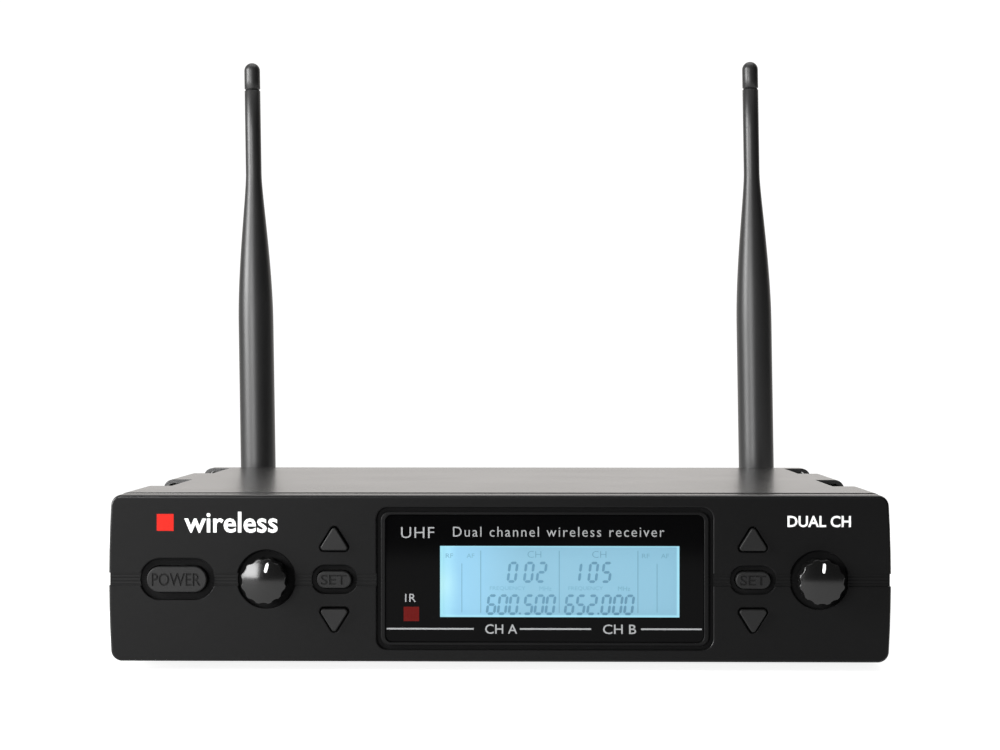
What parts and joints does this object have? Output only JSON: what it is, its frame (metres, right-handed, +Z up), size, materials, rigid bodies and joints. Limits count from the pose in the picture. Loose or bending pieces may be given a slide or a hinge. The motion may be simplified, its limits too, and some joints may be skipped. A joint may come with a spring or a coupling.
{
  "type": "wireless microphone receiver",
  "caption": "Half-rack wireless microphone receiver: dark case with a lit display, keys and volume knobs in front, sockets behind, and tilting rod antennas that stand on bayonet sockets.",
  "frame": {"origin": "middle of the whole object's box, at the underside of its feet", "axes": "+X to the right as seen from the front, +Y to the back, +Z up; the front panel faces -Y"},
  "size_m": [0.212, 0.1974, 0.1938],
  "materials": {
    "panel_plastic": "fine matt grain, dark charcoal",
    "lens": "glossy smoke-black window",
    "ir_red": "dark red infrared filter",
    "lcd_glass": "pale blue lit display",
    "light_box": "white light guide",
    "clear_led": "clear resin",
    "circuit_board": "green solder mask",
    "black_plastic": "moulded black",
    "white_plastic": "moulded cream",
    "ribbon_grey": "grey ribbon cable",
    "key_plastic": "fine matt, dark grey",
    "knob_plastic": "polished black",
    "case_paint": "semi-gloss dark grey powder coat on steel",
    "black_screws": "black oxide",
    "black_metal": "satin black die-casting",
    "zinc": "zinc plated",
    "tin": "tinned sheet",
    "nickel": "nickel plated brass",
    "brass_parts": "turned brass",
    "gold_contacts": "gold plated",
    "raw_aluminium": "extruded",
    "capacitor_sleeve": "dark sleeve",
    "cable_black": "thin coaxial cable",
    "foot_rubber": "black rubber",
    "antenna_black": "smooth black elastomer"
  },
  "bodies": {
    "case": {"antenna_sockets": "nickel", "base_chassis": "case_paint", "board_headers": "white_plastic", "board_screws": "zinc", "capacitors": "capacitor_sleeve", "case_screws": "black_screws", "chips": "black_plastic", "coax_jumpers": "cable_black", "dc_inlet": "black_plastic", "display_lens": "lens", "feet": "foot_rubber", "front_board": "circuit_board", "front_panel": "panel_plastic", "heat_sink": "raw_aluminium", "ir_emitter": "clear_led", "ir_window": "ir_red", "lcd_backlight": "light_box", "lcd_glass": "lcd_glass", "main_board": "circuit_board", "mix_jack": "black_plastic", "mix_jack_nut": "nickel", "regulator": "black_plastic", "ribbon_cable": "ribbon_grey", "socket_nuts": "nickel", "standoffs": "brass_parts", "switch_bodies": "black_plastic", "top_cover": "case_paint", "tuner_cans": "tin", "volume_pots": "zinc", "xlr_pins": "gold_contacts", "xlr_screws": "black_screws", "xlr_sockets": "black_metal"},
    "power_button": {"power_key": "key_plastic", "power_plunger": "black_plastic"},
    "up_a_button": {"up_a_key": "key_plastic", "up_a_plunger": "black_plastic"},
    "set_a_button": {"set_a_key": "key_plastic", "set_a_plunger": "black_plastic"},
    "down_a_button": {"down_a_key": "key_plastic", "down_a_plunger": "black_plastic"},
    "up_b_button": {"up_b_key": "key_plastic", "up_b_plunger": "black_plastic"},
    "set_b_button": {"set_b_key": "key_plastic", "set_b_plunger": "black_plastic"},
    "down_b_button": {"down_b_key": "key_plastic", "down_b_plunger": "black_plastic"},
    "volume_a": {"volume_knob_a": "knob_plastic", "volume_shaft_a": "zinc"},
    "volume_b": {"volume_knob_b": "knob_plastic", "volume_shaft_b": "zinc"},
    "lock_ring_a": {"bayonet_ring_a": "nickel"},
    "knuckle_a": {"antenna_knuckle_a": "antenna_black", "tilt_pin_a": "nickel"},
    "whip_a": {"antenna_whip_a": "antenna_black", "antenna_tip_a": "antenna_black"},
    "lock_ring_b": {"bayonet_ring_b": "nickel"},
    "knuckle_b": {"antenna_knuckle_b": "antenna_black", "tilt_pin_b": "nickel"},
    "whip_b": {"antenna_whip_b": "antenna_black", "antenna_tip_b": "antenna_black"}
  },
  "joints": [
    {"name": "power_press", "type": "slide", "parent": "case", "child": "power_button", "axis": [0, 1, 0], "range_m": [0, 0.0006], "stiffness_N_per_m": 2000, "springref_m": -0.0005},
    {"name": "up_a_press", "type": "slide", "parent": "case", "child": "up_a_button", "axis": [0, 1, 0], "range_m": [0, 0.0006], "stiffness_N_per_m": 2000, "springref_m": -0.0005},
    {"name": "set_a_press", "type": "slide", "parent": "case", "child": "set_a_button", "axis": [0, 1, 0], "range_m": [0, 0.0006], "stiffness_N_per_m": 2000, "springref_m": -0.0005},
    {"name": "down_a_press", "type": "slide", "parent": "case", "child": "down_a_button", "axis": [0, 1, 0], "range_m": [0, 0.0006], "stiffness_N_per_m": 2000, "springref_m": -0.0005},
    {"name": "up_b_press", "type": "slide", "parent": "case", "child": "up_b_button", "axis": [0, 1, 0], "range_m": [0, 0.0006], "stiffness_N_per_m": 2000, "springref_m": -0.0005},
    {"name": "set_b_press", "type": "slide", "parent": "case", "child": "set_b_button", "axis": [0, 1, 0], "range_m": [0, 0.0006], "stiffness_N_per_m": 2000, "springref_m": -0.0005},
    {"name": "down_b_press", "type": "slide", "parent": "case", "child": "down_b_button", "axis": [0, 1, 0], "range_m": [0, 0.0006], "stiffness_N_per_m": 2000, "springref_m": -0.0005},
    {"name": "volume_turn_a", "type": "hinge", "parent": "case", "child": "volume_a", "pos_m": [-0.0631, -0.09224, 0.0248], "axis": [0, 1, 0], "range_deg": [-162, 138]},
    {"name": "volume_turn_b", "type": "hinge", "parent": "case", "child": "volume_b", "pos_m": [0.0866, -0.09224, 0.0248], "axis": [0, 1, 0], "range_deg": [-156, 144]},
    {"name": "bayonet_turn_a", "type": "hinge", "parent": "case", "child": "lock_ring_a", "pos_m": [-0.0904, 0.07576, 0.0295], "axis": [0, 1, 0], "range_deg": [0, 90]},
    {"name": "antenna_swivel_a", "type": "hinge", "parent": "case", "child": "knuckle_a", "pos_m": [-0.0904, 0.07976, 0.0295], "axis": [0, 1, 0], "range_deg": [-89.1, 90.9]},
    {"name": "antenna_tilt_a", "type": "hinge", "parent": "knuckle_a", "child": "whip_a", "pos_m": [-0.0904, 0.09244, 0.0295], "axis": [-0.9999, 0, -0.0157], "range_deg": [0, 90]},
    {"name": "bayonet_turn_b", "type": "hinge", "parent": "case", "child": "lock_ring_b", "pos_m": [0.0904, 0.07576, 0.0295], "axis": [0, 1, 0], "range_deg": [0, 90]},
    {"name": "antenna_swivel_b", "type": "hinge", "parent": "case", "child": "knuckle_b", "pos_m": [0.0904, 0.07976, 0.0295], "axis": [0, 1, 0], "range_deg": [-89.1, 90.9]},
    {"name": "antenna_tilt_b", "type": "hinge", "parent": "knuckle_b", "child": "whip_b", "pos_m": [0.0904, 0.09244, 0.0295], "axis": [-0.9999, 0, -0.0157], "range_deg": [0, 90]}
  ]
}
